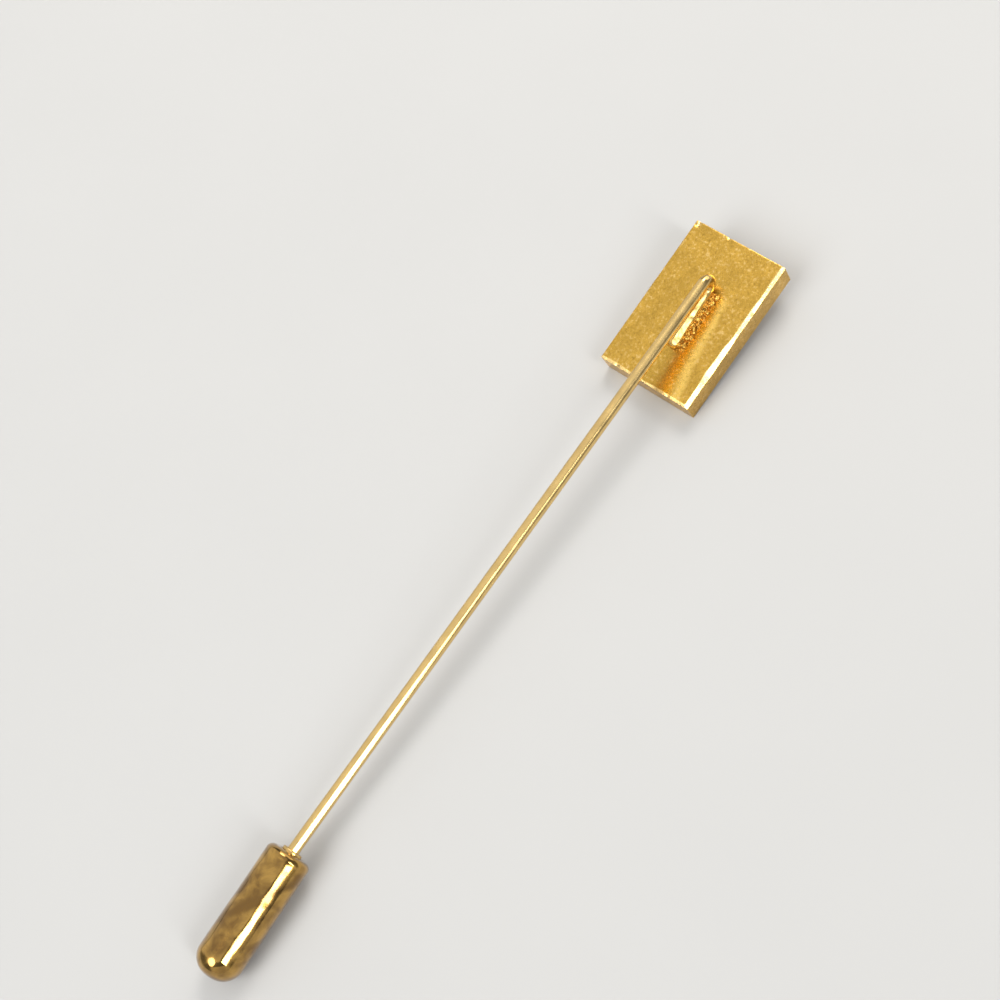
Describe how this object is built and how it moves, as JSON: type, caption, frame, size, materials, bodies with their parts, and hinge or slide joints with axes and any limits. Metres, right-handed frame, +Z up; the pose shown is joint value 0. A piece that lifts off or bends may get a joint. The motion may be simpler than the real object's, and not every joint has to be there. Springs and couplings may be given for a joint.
{
  "type": "stick pin",
  "caption": "Gold-coloured stick pin with an oblong head plate, a hairpin wire soldered to its back and a bullet clutch over the point.",
  "frame": {"origin": "middle of the base of the bounding box, on the surface that the pin lies on", "axes": "+Z up, +X along the pin from the clutch to the head, +Y to the left seen from the clutch"},
  "size_m": [0.0646, 0.0082, 0.0055],
  "materials": {
    "satin_gold": "satin gilt, finely grained, with a polished wire",
    "polished_gold": "polished gilt with small dents and scratches",
    "grip_metal": "dull gilt"
  },
  "bodies": {
    "pin": {"plate_with_pin": "satin_gold"},
    "clutch": {"clutch_shell": "polished_gold", "clutch_grip": "grip_metal"}
  },
  "joints": [
    {"name": "clutch_slide", "type": "slide", "parent": "pin", "child": "clutch", "axis": [-0.9979, -0.033, -0.0557], "range_m": [0, 0.009]}
  ]
}
